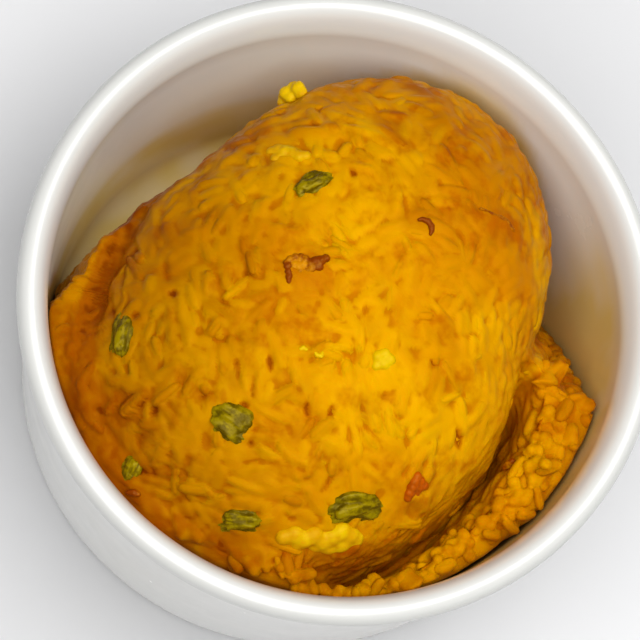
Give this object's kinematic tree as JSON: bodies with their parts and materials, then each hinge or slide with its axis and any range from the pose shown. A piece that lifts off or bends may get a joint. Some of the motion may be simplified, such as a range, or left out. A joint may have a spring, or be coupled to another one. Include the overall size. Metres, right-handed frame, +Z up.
{
  "type": "bowl of fried rice",
  "caption": "Deep round porcelain bowl holding a moulded dome of golden fried rice, with loose rice round its near side and small bits of green vegetable, carrot and egg.",
  "frame": {"origin": "middle of the bowl's foot, on the table", "axes": "+Z up out of the bowl; +X and +Y across the bowl, with the dome's long way 34 degrees clockwise of +Y seen from above and the loose rice towards -Y"},
  "size_m": [0.15, 0.15, 0.0926],
  "materials": {
    "white_porcelain": "glossy white glaze",
    "golden_rice": "cooked rice, fried golden, slightly oily",
    "green_bean": "cooked olive-green vegetable, oily",
    "carrot": "cooked carrot, oily",
    "egg_yellow": "scrambled egg, moist",
    "browned_bit": "browned crisp bit"
  },
  "bodies": {
    "root": {"bowl": "white_porcelain", "rice": "golden_rice", "green_1": "green_bean", "green_2": "green_bean", "green_3": "green_bean", "green_4": "green_bean", "green_5": "green_bean", "green_6": "green_bean", "carrot_1": "carrot", "egg_1": "egg_yellow", "egg_2": "egg_yellow", "egg_3": "egg_yellow", "egg_4": "egg_yellow", "browned_1": "browned_bit"}
  },
  "joints": []
}
